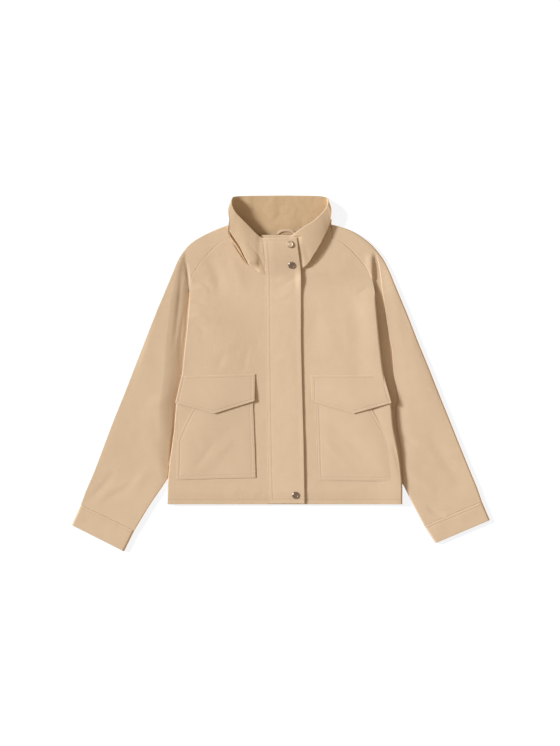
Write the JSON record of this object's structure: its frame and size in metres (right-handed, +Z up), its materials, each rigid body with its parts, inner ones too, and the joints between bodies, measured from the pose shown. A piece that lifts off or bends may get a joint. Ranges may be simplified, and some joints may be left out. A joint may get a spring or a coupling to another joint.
{
  "type": "winter coat",
  "caption": "Cropped cotton twill coat laid flat, with raglan sleeves, funnel collar, wide storm placket with snaps, patch pockets with pointed flaps and plain cuffs.",
  "frame": {"origin": "middle of the laid-out coat's bounding box, on the surface that it lies on", "axes": "+X towards the wearer's left, +Y from the hem to the collar, +Z up from the surface, through the back to the front of the coat"},
  "size_m": [0.938, 0.7981, 0.036],
  "materials": {
    "body_twill": "matte cotton twill, tan",
    "collar_twill": "matte cotton twill, tan",
    "sleeve_twill": "matte cotton twill, tan",
    "pocket_twill": "matte cotton twill, tan",
    "snap_metal": "aged dark brass, satin",
    "loop_tape": "matte cotton tape, tan"
  },
  "bodies": {
    "root": {"back_panel": "body_twill", "front_right": "body_twill", "front_left": "body_twill", "storm_placket": "body_twill", "collar_right": "collar_twill", "collar_left": "collar_twill", "sleeve_front_right": "sleeve_twill", "sleeve_back_right": "sleeve_twill", "sleeve_front_left": "sleeve_twill", "sleeve_back_left": "sleeve_twill", "cuff_right": "sleeve_twill", "cuff_left": "sleeve_twill", "pocket_base_right": "pocket_twill", "pocket_base_left": "pocket_twill", "pocket_front_right": "pocket_twill", "pocket_front_left": "pocket_twill", "pocket_flap_right": "pocket_twill", "pocket_flap_left": "pocket_twill", "snap_collar_top": "snap_metal", "snap_collar_base": "snap_metal", "snap_hem": "snap_metal", "hanger_loop": "loop_tape"}
  },
  "joints": []
}
